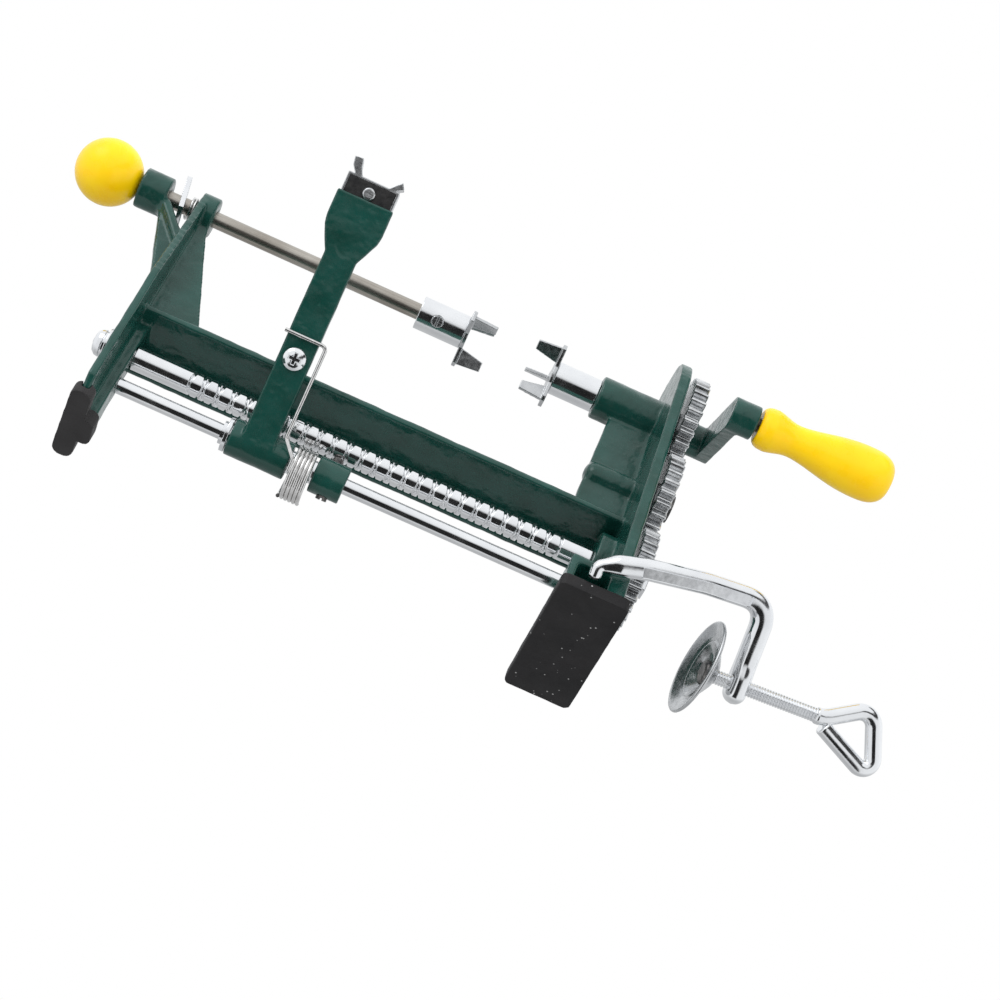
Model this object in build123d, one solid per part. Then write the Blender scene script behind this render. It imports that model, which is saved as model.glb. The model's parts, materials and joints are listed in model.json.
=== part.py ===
from build123d import *
import os
from math import acos, cos, pi, radians, sin, sqrt, tan

# Clamp-on crank fruit peeler, in millimetres.
# X runs from the ball knob to the crank, Y away from the user, Z up.
# The origin is on the plane the feet stand on, under the fork axis, midway between the end plates.

# ---- overall layout ----
axis_height = 142.0          # fork axis above the feet
plate_gap = 230.3            # between the inner faces of the two end plates
rod_y = 5.0                  # both long rods lie this far behind the fork axis
running_clearance = 0.05     # radial, shaft in bore
part_gap = 0.3               # between bodies that move past each other

# ---- end plates and beam of the casting ----
left_plate_thickness = 3.4
left_plate_half_width = 22.0
left_plate_shoulder = 78.0   # height where the left plate starts to narrow
left_plate_corner = (5.0, 5.5)  # cut off its lower front corner, along Y and Z
right_plate_thickness = 5.3
right_plate_radius = 30.3
web_thickness = 4.3
web_front = -2.0             # front face of the upright webs
beam_top = 70.3
beam_thickness = 3.4
beam_front = -9.2
beam_depth = 33.0
beam_lip_height = 10.0
foot_bottom = 3.5
foot_top = 20.0
foot_length_x = 26.5
foot_front_y = -30.3
foot_back_y = 42.0

# ---- bosses ----
spindle_boss_radius = 10.4
spindle_boss_length = 30.2
clevis_boss_radius = 9.6
clevis_inner_length = 8.8
clevis_outer_length = 13.4
clevis_gap = 14.6
clevis_rib_thickness = 2.2
gusset_end = -88.7           # where the left web ends on the beam
clevis_vertex_height = 119.0  # bottom of the V between the bosses
clevis_rib_foot = 80.5       # where the outer rib meets the left plate
screw_boss_radius = 14.2
screw_boss_length = 7.7
end_rib_width = 5.2
end_rib_depth = 12.0
idler_boss_radius = 6.2
outer_boss_radius = 8.0
outer_boss_length = 2.8

# ---- gears ----
gear_module = 1.7
spindle_teeth = 30
idler_teeth = 26
leadscrew_teeth = 26
gear_thickness = 7.3
gear_standoff = 3.4          # from the right plate to the gears
gear_hub_radius = 9.0
tooth_thinning = 0.16
pressure_angle = radians(20)
addendum_factor = 0.96
dedendum_factor = 1.25

# ---- rods and shafts ----
guide_rod_radius = 3.5
guide_rod_height = 31.9
leadscrew_radius = 5.45
leadscrew_journal_radius = 4.0
slide_rod_radius = 3.85
spindle_radius = 5.0
idler_stud_radius = 4.0

# ---- crank and handle ----
crank_throw = 54.0
crank_rest_angle = 206.85     # degrees from +Y towards +Z
crank_hub_radius = 7.8
crank_hub_length = 7.3
crank_arm_thickness = 6.3
crank_end_radius = 7.9
crank_end_length = 12.3
handle_pin_radius = 3.0
crank_cap = 1.6              # crank metal past the spindle's end
crank_screw_radius = 1.8
handle_length = 63.9
handle_gap = 1.4

# ---- forks ----
fork_hub_radius = 7.9
fork_plate_radius = 16.4
fork_plate_thickness = 1.8
fork_plate_hub = 8.8
prong_length = 11.4
prong_root = (7.2, 15.2)     # inner and outer radius of a prong at the plate
prong_tip = (9.6, 14.2)
prong_thickness = 1.7
driven_hub_length = 21.6
idle_hub_length = 23.3
idle_hub_start = -6.25
driven_fork_angle = 157.6
idle_fork_angle = 192.6
set_screw_angle = 230.6

# ---- ball knob and rod lock ----
ball_radius = 15.8
ball_gap = 0.3
slide_rise = 2.9             # the fruit rod sits this much above the spindle's axis
lever_thickness = 2.4
lever_width = 15.0
lever_tilt = 10.0            # degrees from upright, top towards the knob
lever_offset = 6.2           # pivot left of the left plate
lever_foot_height = 9.0      # pivot below the rod axis
lever_top = 16.6             # tip above the rod axis
lock_spring_radius = 5.2
lock_spring_wire = 1.1
lock_spring_turns = 2.5

# ---- carriage and arm ----
sleeve_radius = 5.2
collar_screw_angle = 217.0   # degrees from straight up, turning towards the user
arm_tube_radius = 8.35
arm_tube_start = -57.25
arm_tube_length = 27.5
spring_room = 11.8
collar_length = 14.3
flange_radius = 7.75
arm_lean = 42.6              # degrees the arm leans towards the user at rest
arm_width = 14.6
arm_thickness = 6.0
arm_face = 8.4               # front of the arm ahead of the guide rod axis
arm_length = 115.5
head_width = 25.8
head_start = 89.0
head_full = 104.0
head_wall = 3.6
holder_width = 21.2
holder_length = 24.6
holder_depth = 9.2
holder_reach = 7.8           # holder beyond the end of the arm
bracket_thickness = 1.3
arm_screw_height = 41.0
torsion_mean_radius = 11.5
torsion_wire = 1.75
torsion_turns = 5
torsion_drop = 3.7
torsion_hook_height = 51.2

# ---- feet ----
pad_wall_left = 1.8
pad_wall_right = 3.0
pad_wall_end = 2.2
pad_height = 6.2
boot_half_width = 4.7
boot_front = 18.5
boot_back = 25.0
boot_turn = 3.5              # degrees the boot sits askew on the plate
boot_height = 6.5
stub_wall = 1.3
stub_height = 7.6

# ---- clamp, modelled hanging down, then turned to its parked direction ----
hook_centre = (106.15, -33.95, 10.08)
hook_pocket = (14.4, 10.0, 13.0)      # width, depth, height of the socket in the foot
park_bar = (0.990, 0.056, 0.116)      # direction of the long bar when parked
park_arm = (0.0, 0.677, -0.736)       # direction of the short arm when parked
bar_width = 10.4
bar_thickness = 9.6
tongue_width = 7.0
tongue_thickness = 6.0
tongue_length = 5.2
bar_offset = 14.4
clamp_arm_distance = 74.4
clamp_screw_offset = 22.1
clamp_eye_radius = 8.5
clamp_screw_radius = 3.175
clamp_swivel = 8.4           # degrees the disc sits tilted on the screw's end
clamp_swivel_play = 0.9
clamp_disc_radius = 21.5
clamp_disc_distance = 56.0
clamp_thread_end = 111.5
clamp_cup_depth = 7.5
clamp_button_seat = 3.4       # button above the bottom of the cup, so that the tilted disc clears it
clamp_sheet = 1.6

# ---- worked-out positions ----
slide_height = axis_height + slide_rise
left_inner = -plate_gap / 2
left_outer = left_inner - left_plate_thickness
right_inner = plate_gap / 2
right_outer = right_inner + right_plate_thickness
gear_start = right_outer + gear_standoff
gear_end = gear_start + gear_thickness
idler_height = axis_height - gear_module * (spindle_teeth + idler_teeth) / 2
lower_centres = gear_module * (idler_teeth + leadscrew_teeth) / 2
leadscrew_height = idler_height - sqrt(lower_centres ** 2 - rod_y ** 2)
clevis_inner_end = left_outer + clevis_inner_length
clevis_outer_end = left_outer - clevis_gap
clevis_outer_start = clevis_outer_end - clevis_outer_length
ball_centre = clevis_outer_start - ball_gap - ball_radius
boss_start = right_inner - spindle_boss_length
driven_hub_end = boss_start - part_gap
driven_hub_start = driven_hub_end - driven_hub_length
crank_hub_start = gear_end
crank_arm_start = crank_hub_start + crank_hub_length
crank_arm_end = crank_arm_start + crank_arm_thickness
crank_end_end = crank_arm_start + crank_end_length
handle_start = crank_end_end + handle_gap
handle_end = handle_start + handle_length
crank_pin_y = crank_throw * cos(radians(crank_rest_angle))
crank_pin_z = axis_height + crank_throw * sin(radians(crank_rest_angle))
arm_tube_end = arm_tube_start + arm_tube_length
collar_start = arm_tube_end + spring_room
collar_end = collar_start + collar_length
arm_centre = arm_tube_start + 12.2
foot_start = right_outer + 1.5 - foot_length_x
foot_end = foot_start + foot_length_x

parts = {}
ON_BASE = (Align.CENTER, Align.CENTER, Align.MIN)


def block(x0, x1, y0, y1, z0, z1):
    """Box between two corners."""
    return Pos(x0, y0, z0) * Box(x1 - x0, y1 - y0, z1 - z0, align=(Align.MIN, Align.MIN, Align.MIN))


def rod_x(x0, x1, radius, y, z):
    """Cylinder along X."""
    return Pos(x0, y, z) * Rot(0, 90, 0) * Cylinder(radius, x1 - x0, align=ON_BASE)


def tube_x(x0, x1, outer, inner, y, z):
    """Tube along X."""
    return rod_x(x0, x1, outer, y, z) - rod_x(x0 - 1, x1 + 1, inner, y, z)


def rod_y_axis(y0, y1, radius, x, z):
    """Cylinder along Y."""
    return Pos(x, y0, z) * Rot(-90, 0, 0) * Cylinder(radius, y1 - y0, align=ON_BASE)


def plate_yz(face, x0, x1):
    """Face drawn with (Y, Z) as its own x and y, made thick along X."""
    plane = Plane(origin=(x0, 0, 0), x_dir=(0, 1, 0), z_dir=(1, 0, 0))
    return extrude(plane * face, amount=x1 - x0)


def plate_xz(face, y0, y1):
    """Face drawn with (X, Z) as its own x and y, made thick along Y."""
    plane = Plane(origin=(0, y1, 0), x_dir=(1, 0, 0), z_dir=(0, -1, 0))
    return extrude(plane * face, amount=y1 - y0)


def polygon(points):
    """Face inside a closed line of points."""
    return make_face(Polyline(*points, close=True))


def revolve_x(profile, y, z):
    """Solid of revolution about X from (x, radius) points; the first and last lie on the axis."""
    face = Plane(origin=(0, y, z), x_dir=(1, 0, 0), z_dir=(0, -1, 0)) * polygon(profile)
    return revolve(face, axis=Axis((0, y, z), (1, 0, 0)), revolution_arc=360)


# ---- frame ----

def left_end():
    """Left plate, its inner rib, the Y-shaped rod clevis and their web."""
    width = left_plate_half_width
    tangent = clevis_boss_radius
    cut_y, cut_z = left_plate_corner
    outline = polygon([
        (cut_y - width, foot_bottom), (width - 1, foot_bottom), (width - 1, left_plate_shoulder),
        (tangent, slide_height), (-tangent, slide_height), (-width, left_plate_shoulder),
        (-width, foot_bottom + cut_z),
    ])
    solid = plate_yz(outline, left_outer, left_inner)
    solid += rod_x(left_outer, clevis_inner_end, clevis_boss_radius, 0, slide_height)
    solid += rod_x(clevis_outer_start, clevis_outer_end, clevis_boss_radius, 0, slide_height)
    rib_front = rod_y - end_rib_depth / 2
    solid += block(left_inner, left_inner + end_rib_width, rib_front, rib_front + end_rib_depth,
                   foot_bottom, beam_top - 1)
    solid += rod_x(left_outer - outer_boss_length, left_outer, outer_boss_radius, rod_y, leadscrew_height)
    rib_top = (clevis_outer_end - 0.4, slide_height - clevis_boss_radius - 2)
    inside = left_outer + 1
    rib = polygon([
        (clevis_outer_end - 4, slide_height - 8), (clevis_outer_end + 2.3, slide_height - 8.5),
        (left_outer - 1, clevis_vertex_height), (inside, clevis_vertex_height), (inside, clevis_rib_foot), rib_top,
    ])
    web_back = web_front + web_thickness
    solid += plate_xz(rib, web_front, web_back)
    edge = clevis_rib_thickness
    flange = polygon([
        (clevis_outer_end - 2.5, slide_height - 6), (clevis_outer_end + edge, slide_height - 5),
        (inside, clevis_vertex_height + edge), (inside, clevis_vertex_height - 2.5 * edge),
    ])
    solid += plate_xz(flange, web_front - 3.5, web_back + 4)
    gusset = polygon([
        (inside, slide_height - 4), (clevis_inner_end - 1, slide_height - 4),
        (clevis_inner_end + 1.0, slide_height - 14.9), (gusset_end, beam_top - 1), (inside, beam_top - 1),
    ])
    solid += plate_xz(gusset, web_front, web_back)
    solid -= rod_x(clevis_outer_start - 1, clevis_inner_end + 1,
                   slide_rod_radius + running_clearance, 0, slide_height)
    return solid


def beam():
    """Flat shelf between the plates, with a lip along its back edge."""
    back = beam_front + beam_depth
    solid = block(left_inner - 1, right_inner + 1, beam_front, back, beam_top - beam_thickness, beam_top)
    lip_bottom = beam_top - beam_thickness - beam_lip_height
    solid += block(left_inner - 1, right_inner + 1, back - beam_thickness, back, lip_bottom, beam_top)
    return solid


def right_end():
    """Round-topped right plate, spindle boss, web, gear bosses and foot."""
    radius = right_plate_radius
    solid = block(right_inner, right_outer, -radius, radius, foot_top - 1, axis_height)
    solid += rod_x(right_inner, right_outer, radius, 0, axis_height)
    solid += rod_x(boss_start, right_inner + 1, spindle_boss_radius, 0, axis_height)
    web = polygon([
        (boss_start + 9.2, axis_height - 4), (right_inner + 1, axis_height - 4),
        (right_inner + 1, beam_top - 1), (boss_start + 5.9, beam_top - 1),
    ])
    solid += plate_xz(web, web_front, web_front + web_thickness)
    solid += rod_x(boss_start + 10.0, right_inner + 1, idler_boss_radius, 0, idler_height)
    solid += rod_x(right_inner - screw_boss_length, right_inner + 1, screw_boss_radius,
                   rod_y, leadscrew_height)
    solid += block(foot_start, foot_end, foot_front_y, foot_back_y, foot_bottom, foot_top)
    solid -= rod_x(boss_start - 1, right_outer + 1, spindle_radius + running_clearance, 0, axis_height)
    solid -= rod_x(boss_start + 14, right_outer + 1, idler_stud_radius, 0, idler_height)
    return solid


def frame():
    """One casting: both ends and the beam, with its bores and the clamp socket."""
    solid = left_end() + beam() + right_end()
    bearing = leadscrew_journal_radius + running_clearance
    solid -= rod_x(left_outer - 10, left_inner + end_rib_width + 1, bearing, rod_y, leadscrew_height)
    solid -= rod_x(right_inner - screw_boss_length - 1, right_outer + 1, bearing, rod_y, leadscrew_height)
    solid -= rod_x(left_outer + 1, right_outer - 1.5, guide_rod_radius, rod_y, guide_rod_height)
    x, _, z = hook_centre
    width, depth, height = hook_pocket
    solid -= block(x - width / 2, x + width / 2, foot_front_y - 1, foot_front_y + depth,
                   z - height / 2 - 0.6, z + height / 2 - 0.6)
    return solid


parts["frame"] = frame()


# ---- feet ----

def right_pad():
    """Rubber shoe around the foot's lower edge."""
    outer = block(foot_start - pad_wall_left, foot_end + pad_wall_right,
                  foot_front_y - pad_wall_end, foot_back_y + pad_wall_end, 0, pad_height)
    outer = fillet(outer.edges().filter_by(Axis.Z), 3.0)
    return outer - block(foot_start, foot_end, foot_front_y, foot_back_y, foot_bottom, pad_height + 1)


def left_boot():
    """Oval rubber sleeve on the left plate's lower edge, with a round stub over the rib."""
    centre = (left_outer + left_inner) / 2
    half = boot_half_width
    sleeve = block(-half, half, 0, boot_front + boot_back, 0, boot_height)
    sleeve = fillet(sleeve.edges().filter_by(Axis.Z), half - 0.2)
    sleeve = Pos(centre, -boot_front, 0) * Rot(0, 0, boot_turn) * sleeve
    rib_front = rod_y - end_rib_depth / 2
    rib_back = rib_front + end_rib_depth
    stub = block(left_inner - 0.5, left_inner + end_rib_width + stub_wall, rib_front - stub_wall,
                 rib_back + stub_wall, 0, stub_height)
    sleeve += fillet(stub.edges().filter_by(Axis.Z).sort_by(Axis.X)[-2:], 3.5)
    width = left_plate_half_width
    sleeve -= block(left_outer, left_inner, -width, width - 1, foot_bottom, stub_height + 1)
    return sleeve - block(left_inner - 0.6, left_inner + end_rib_width, rib_front, rib_back,
                          foot_bottom, stub_height + 1)


parts["right_pad"] = right_pad()
parts["left_boot"] = left_boot()
parts["guide_rod"] = rod_x(left_outer + 1, right_outer - 1.5, guide_rod_radius, rod_y, guide_rod_height)


# ---- gears ----

def gear_outline(teeth, first_tooth):
    """Involute gear face about the origin, with a tooth centred on the angle first_tooth."""
    pitch = gear_module * teeth / 2
    base = pitch * cos(pressure_angle)
    tip = pitch + addendum_factor * gear_module
    root = pitch - dedendum_factor * gear_module
    half_pitch_angle = (pi * gear_module / 2 - tooth_thinning) / 2 / pitch

    def flank_angle(radius):
        roll = acos(min(1.0, base / radius))
        return half_pitch_angle + (tan(pressure_angle) - pressure_angle) - (tan(roll) - roll)

    steps = 5
    start = max(base, root + 0.05)
    radii = [start + (tip - start) * i / (steps - 1) for i in range(steps)]
    half_tooth = [(root, flank_angle(start) + 0.12 / pitch)] + [(r, flank_angle(r)) for r in radii]
    points = []
    for k in range(teeth):
        centre = first_tooth + 2 * pi * k / teeth
        side = [(r, centre - a) for r, a in half_tooth] + [(r, centre + a) for r, a in reversed(half_tooth)]
        points += [(r * cos(a), r * sin(a)) for r, a in side]
    return polygon(points)


def gear(teeth, first_tooth, y, z, bore):
    """Spur gear with a hub towards the plate."""
    plane = Plane(origin=(gear_start, y, z), x_dir=(0, 1, 0), z_dir=(1, 0, 0))
    solid = extrude(plane * gear_outline(teeth, first_tooth), amount=gear_thickness)
    solid += rod_x(right_outer + part_gap, gear_start + 1, gear_hub_radius, y, z)
    return solid - rod_x(right_outer - 1, gear_end + 1, bore, y, z)


down = -pi / 2
spindle_first = down
idler_first = down + pi + pi / idler_teeth
lower_line = -pi / 2 + acos((idler_height - leadscrew_height) / lower_centres)
idler_pitch = 2 * pi / idler_teeth
idler_offset = (idler_first - lower_line) % idler_pitch
slip = idler_offset * idler_teeth / leadscrew_teeth
leadscrew_first = lower_line + pi - slip + pi / leadscrew_teeth

parts["drive_gear"] = gear(spindle_teeth, spindle_first, 0, axis_height, spindle_radius)
parts["idler_gear"] = gear(idler_teeth, idler_first, 0, idler_height, idler_stud_radius + running_clearance)
parts["leadscrew_gear"] = gear(leadscrew_teeth, leadscrew_first, rod_y, leadscrew_height,
                               leadscrew_journal_radius)


def idler_stud():
    """Shoulder stud pressed into the plate, with a head that keeps the idler on."""
    head = gear_end + part_gap
    return rod_x(boss_start + 14, head, idler_stud_radius, 0, idler_height) \
        + rod_x(head, head + 2.6, 6.5, 0, idler_height)


parts["idler_stud"] = idler_stud()


# ---- drive spindle, driven fork and crank ----

parts["drive_spindle"] = rod_x(driven_hub_start, crank_arm_end - crank_cap, spindle_radius, 0, axis_height)


def fork_arm(direction):
    """One tapered arm of a fork's star plate, drawn in the plate's own plane."""
    outer = fork_plate_radius
    return Rot(0, 0, direction) * polygon([(0, -6.2), (outer - 1.5, -3.4), (outer, -1.6), (outer, 3.4), (0, 6.2)])


def fork_star(x0, first_angle, height):
    """Three-armed plate across the X axis."""
    face = Circle(fork_plate_hub)
    for k in range(3):
        face += fork_arm(first_angle + 120 * k)
    return plate_yz(Pos(0, height) * face, x0, x0 + fork_plate_thickness)


def fork_prong(x0, direction, angle, height):
    """Tapered blade standing off the plate; direction is +1 or -1 along X."""
    x1 = x0 + direction * prong_length
    blade = polygon([(x0, prong_root[0]), (x1, prong_tip[0]), (x1, prong_tip[1]), (x0, prong_root[1])])
    half = prong_thickness / 2
    solid = plate_xz(blade, -half, half)
    return Pos(0, 0, height) * Rot(angle - 90, 0, 0) * solid


driven_plate_start = driven_hub_start - fork_plate_thickness
parts["driven_fork_hub"] = tube_x(driven_hub_start, driven_hub_end, fork_hub_radius, spindle_radius,
                                  0, axis_height)
driven_star = fork_star(driven_plate_start, driven_fork_angle, axis_height)
for k in range(3):
    driven_star += fork_prong(driven_plate_start, -1, driven_fork_angle + 120 * k, axis_height)
parts["driven_fork"] = driven_star


def crank_screw_seat():
    """Plane on the spindle's surface under the crank's set screw."""
    x = crank_hub_start + crank_hub_length / 2
    return Plane(origin=(x, spindle_radius, axis_height), x_dir=(1, 0, 0), z_dir=(0, 1, 0)).location


def crank_arm():
    """Cast crank: hub, flat arm and end boss."""
    y, z = crank_pin_y, crank_pin_z
    solid = rod_x(crank_hub_start, crank_arm_end, crank_hub_radius, 0, axis_height)
    solid += rod_x(crank_arm_start, crank_end_end, crank_end_radius, y, z)
    arm = block(crank_arm_start, crank_arm_end, 0, crank_throw, -crank_hub_radius, crank_hub_radius)
    solid += Pos(0, 0, axis_height) * Rot(crank_rest_angle, 0, 0) * arm
    solid -= rod_x(crank_hub_start - 1, crank_arm_end - crank_cap, spindle_radius, 0, axis_height)
    solid -= crank_screw_seat() * Cylinder(crank_screw_radius, crank_hub_radius, align=ON_BASE)
    return solid - rod_x(crank_arm_start + 2, crank_end_end + 1, handle_pin_radius, y, z)


parts["crank_arm"] = crank_arm()


def pan_screw(x0, x1, radius, y, z):
    """Domed head along X from its seat x0 to its crown x1, with a cross recess."""
    step = x1 - x0
    profile = [(x0, 0), (x0, radius), (x0 + 0.45 * step, 0.94 * radius), (x0 + 0.8 * step, 0.72 * radius),
               (x1, 0.35 * radius), (x1, 0)]
    return revolve_x(profile, y, z)


def cross_cut(head, x1, depth, radius, y, z):
    """Cross recess cut into a head whose crown is at x1; depth is signed, into the head."""
    low, high = sorted((x1 + depth, x1 - depth))
    slot = 0.16 * radius
    reach = 0.5 * radius
    head -= block(low, high, y - slot, y + slot, z - reach, z + reach)
    return head - block(low, high, y - reach, y + reach, z - slot, z + slot)


def crank_screw():
    """Slotted set screw that holds the crank on the spindle."""
    length = crank_hub_radius - spindle_radius - 0.2
    screw = Cylinder(crank_screw_radius, length, align=ON_BASE)
    screw -= Pos(0, 0, length - 0.6) * Box(0.6, 4, 1.4)
    return crank_screw_seat() * screw


parts["crank_screw"] = crank_screw()


def handle_pin():
    """Rivet pin fixed in the crank's end boss, with a head inside the handle's far end."""
    head = handle_end - 5.0
    return rod_x(crank_arm_start + 2, head, handle_pin_radius, crank_pin_y, crank_pin_z) \
        + rod_x(head, head + 2.0, 5.0, crank_pin_y, crank_pin_z)


parts["handle_pin"] = handle_pin()


def handle_grip():
    """Waisted plastic grip, free to turn on its pin."""
    stations = [(0.0, 7.6), (0.02, 9.0), (0.05, 9.7), (0.10, 9.9), (0.16, 9.0), (0.24, 7.7), (0.34, 7.9),
                (0.46, 9.3), (0.60, 11.1), (0.72, 12.0), (0.83, 12.1), (0.92, 11.2), (0.97, 9.4), (1.0, 6.6)]
    x0 = handle_start
    points = [(x0 + handle_length * t, r) for t, r in stations]
    curve = Spline(*points[3:])
    outline = Polyline(*([(x0, 0)] + points[:4])) + curve
    outline += Polyline(points[-1], (handle_end, 0), (x0, 0))
    plane = Plane(origin=(0, crank_pin_y, crank_pin_z), x_dir=(1, 0, 0), z_dir=(0, -1, 0))
    solid = revolve(plane * make_face(outline), axis=Axis((0, crank_pin_y, crank_pin_z), (1, 0, 0)))
    bore = handle_pin_radius + running_clearance
    solid -= rod_x(x0 - 1, handle_end + 1, bore, crank_pin_y, crank_pin_z)
    return solid - rod_x(handle_end - 5.0 - part_gap, handle_end + 1, 5.0 + part_gap, crank_pin_y, crank_pin_z)


parts["handle_grip"] = handle_grip()


# ---- leadscrew ----

def leadscrew():
    """Steel screw between the plates, with a journal at each end."""
    left = left_inner + end_rib_width + part_gap
    right = right_inner - screw_boss_length - part_gap
    solid = rod_x(left, right, leadscrew_radius, rod_y, leadscrew_height)
    journal_left = left_outer - outer_boss_length - part_gap
    return solid + rod_x(journal_left, gear_end, leadscrew_journal_radius, rod_y, leadscrew_height)


def leadscrew_nut():
    """Round-cornered nut that holds the lower gear on the screw's end."""
    hexagon = Pos(rod_y, leadscrew_height) * RegularPolygon(6.6, 6, major_radius=True)
    return plate_yz(hexagon, gear_end, gear_end + 3.4)


parts["leadscrew"] = leadscrew()
parts["leadscrew_nut"] = leadscrew_nut()
end_seat = left_outer - outer_boss_length - part_gap
parts["end_washer"] = tube_x(end_seat - 1.6, end_seat, 7.9, 2.5, rod_y, leadscrew_height)
parts["end_lock_washer"] = tube_x(end_seat - 3.0, end_seat - 1.6, 6.0, 2.5, rod_y, leadscrew_height)
end_screw_head = pan_screw(end_seat - 3.0, end_seat - 7.2, 6.3, rod_y, leadscrew_height)
end_screw_head = cross_cut(end_screw_head, end_seat - 7.2, 2.0, 6.3, rod_y, leadscrew_height)
parts["end_screw"] = end_screw_head + rod_x(end_seat - 3.2, end_seat, 2.5, rod_y, leadscrew_height)


# ---- ball knob, slide rod and idle fork ----

idle_hub_end = idle_hub_start + idle_hub_length
rod_tail = ball_centre - 6.0
rod_nose = idle_hub_end - 1.5
parts["slide_rod"] = rod_x(rod_tail, rod_nose, slide_rod_radius, 0, slide_height) \
    - tube_x(idle_hub_start + 8.0, idle_hub_start + 11.0, slide_rod_radius + 1, slide_rod_radius - 0.8,
             0, slide_height)
parts["ball_knob"] = Pos(ball_centre, 0, slide_height) * Sphere(ball_radius) \
    - rod_x(rod_tail, ball_centre + ball_radius + 1, slide_rod_radius, 0, slide_height)


def set_screw_axis():
    """Plane on the idle hub whose normal points at the set screw."""
    direction = radians(set_screw_angle)
    return Plane(origin=(idle_hub_start + 9.5, 0, slide_height), x_dir=(1, 0, 0),
                 z_dir=(0, cos(direction), sin(direction)))


def idle_fork_hub():
    """Hub that turns on the rod's end; closed at the fork."""
    solid = rod_x(idle_hub_start, idle_hub_end, fork_hub_radius, 0, slide_height)
    solid -= rod_x(idle_hub_start - 1, rod_nose + part_gap, slide_rod_radius + running_clearance,
                   0, slide_height)
    hole = set_screw_axis() * Cylinder(2.6, 12, align=ON_BASE)
    return solid - hole


def idle_set_screw():
    """Slotted screw whose nose runs in the rod's groove."""
    nose = slide_rod_radius - 0.5
    screw = Pos(0, 0, slide_rod_radius + part_gap) * Cylinder(2.6, 4.6, align=ON_BASE)
    screw += Pos(0, 0, nose) * Cylinder(1.1, 2.0, align=ON_BASE)
    screw -= Pos(0, 0, slide_rod_radius + part_gap + 4.2) * Box(0.9, 6, 2)
    return set_screw_axis() * screw


parts["idle_fork_hub"] = idle_fork_hub()
parts["idle_set_screw"] = idle_set_screw()
idle_star = fork_star(idle_hub_end, idle_fork_angle, slide_height)
for k in range(3):
    idle_star += fork_prong(idle_hub_end + fork_plate_thickness, 1, idle_fork_angle + 120 * k, slide_height)
parts["idle_fork"] = idle_star

lever_pivot_x = left_outer - lever_offset
lever_pivot_z = slide_height - lever_foot_height


def lock_lever():
    """Tilted plate that bites the rod; its hole lets the rod through at every tilt."""
    half = lever_width / 2
    top = lever_foot_height + lever_top
    face = Pos(0, (top - half) / 2) * Rectangle(lever_width, top - half)
    face += Pos(0, top - half) * Circle(half)
    hole = Pos(0, lever_foot_height) * Rectangle(2 * slide_rod_radius + 0.8, 2 * slide_rod_radius + 2.6)
    face -= hole
    plane = Plane(origin=(-lever_thickness / 2, 0, 0), x_dir=(0, 1, 0), z_dir=(1, 0, 0))
    plate = extrude(plane * face, amount=lever_thickness)
    return Pos(lever_pivot_x, 0, lever_pivot_z) * Rot(0, -lever_tilt, 0) * plate


parts["lock_lever"] = lock_lever()


def coil_x(x0, x1, mean_radius, wire, turns, y, z, start_angle=0.0):
    """Round-wire coil about X between its outer faces."""
    pitch = (x1 - x0 - wire) / turns
    path = Helix(pitch=pitch, height=pitch * turns, radius=mean_radius)
    section = Plane(origin=path @ 0, z_dir=path % 0) * Circle(wire / 2)
    coil = sweep(section, path=path, is_frenet=True)
    return Pos(x0 + wire / 2, y, z) * Rot(start_angle, 0, 0) * Rot(0, 90, 0) * coil


lock_spring_start = lever_pivot_x + 1.4
parts["lock_spring"] = coil_x(lock_spring_start, left_outer - 0.2, lock_spring_radius, lock_spring_wire,
                              lock_spring_turns, 0, slide_height)


# ---- carriage ----

sleeve_start = arm_tube_start - 4.0
parts["carriage_sleeve"] = tube_x(sleeve_start, collar_end, sleeve_radius,
                                  guide_rod_radius + running_clearance, rod_y, guide_rod_height)
parts["flange_washer"] = tube_x(arm_tube_start - part_gap - 2.0, arm_tube_start - part_gap, flange_radius,
                                sleeve_radius, rod_y, guide_rod_height)


def carriage_collar():
    """Collar fixed to the sleeve, with a seat for the follower and a set-screw hole."""
    solid = tube_x(collar_start, collar_end, arm_tube_radius, sleeve_radius, rod_y, guide_rod_height)
    middle = (collar_start + collar_end) / 2
    seat = Pos(middle, rod_y, guide_rod_height) * Cylinder(2.5, 20, align=ON_BASE)
    hole = Pos(middle, rod_y, guide_rod_height) * Rot(collar_screw_angle, 0, 0) \
        * Cylinder(2.5, 20, align=ON_BASE)
    return solid - seat - hole


def follower_pin():
    """Pin on the collar that reaches up to the leadscrew."""
    middle = (collar_start + collar_end) / 2
    length = leadscrew_height - leadscrew_radius - part_gap - guide_rod_height - sleeve_radius
    pin = Pos(middle, rod_y, guide_rod_height + sleeve_radius) * Cylinder(2.5, length, align=ON_BASE)
    return chamfer(pin.edges().sort_by(Axis.Z)[-1:], 0.9)


def collar_screw():
    """Set screw under the collar, standing a little proud."""
    middle = (collar_start + collar_end) / 2
    screw = Pos(0, 0, sleeve_radius) * Cylinder(2.5, 4.4, align=ON_BASE)
    screw -= Pos(0, 0, sleeve_radius + 4.2) * Box(0.9, 6, 1.6)
    return Pos(middle, rod_y, guide_rod_height) * Rot(collar_screw_angle, 0, 0) * screw


parts["carriage_collar"] = carriage_collar()
parts["follower_pin"] = follower_pin()
parts["collar_screw"] = collar_screw()


# ---- peeling arm: drawn upright about the guide rod axis, then leaned ----

arm_pose = Pos(0, rod_y, guide_rod_height) * Rot(arm_lean, 0, 0)


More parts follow.
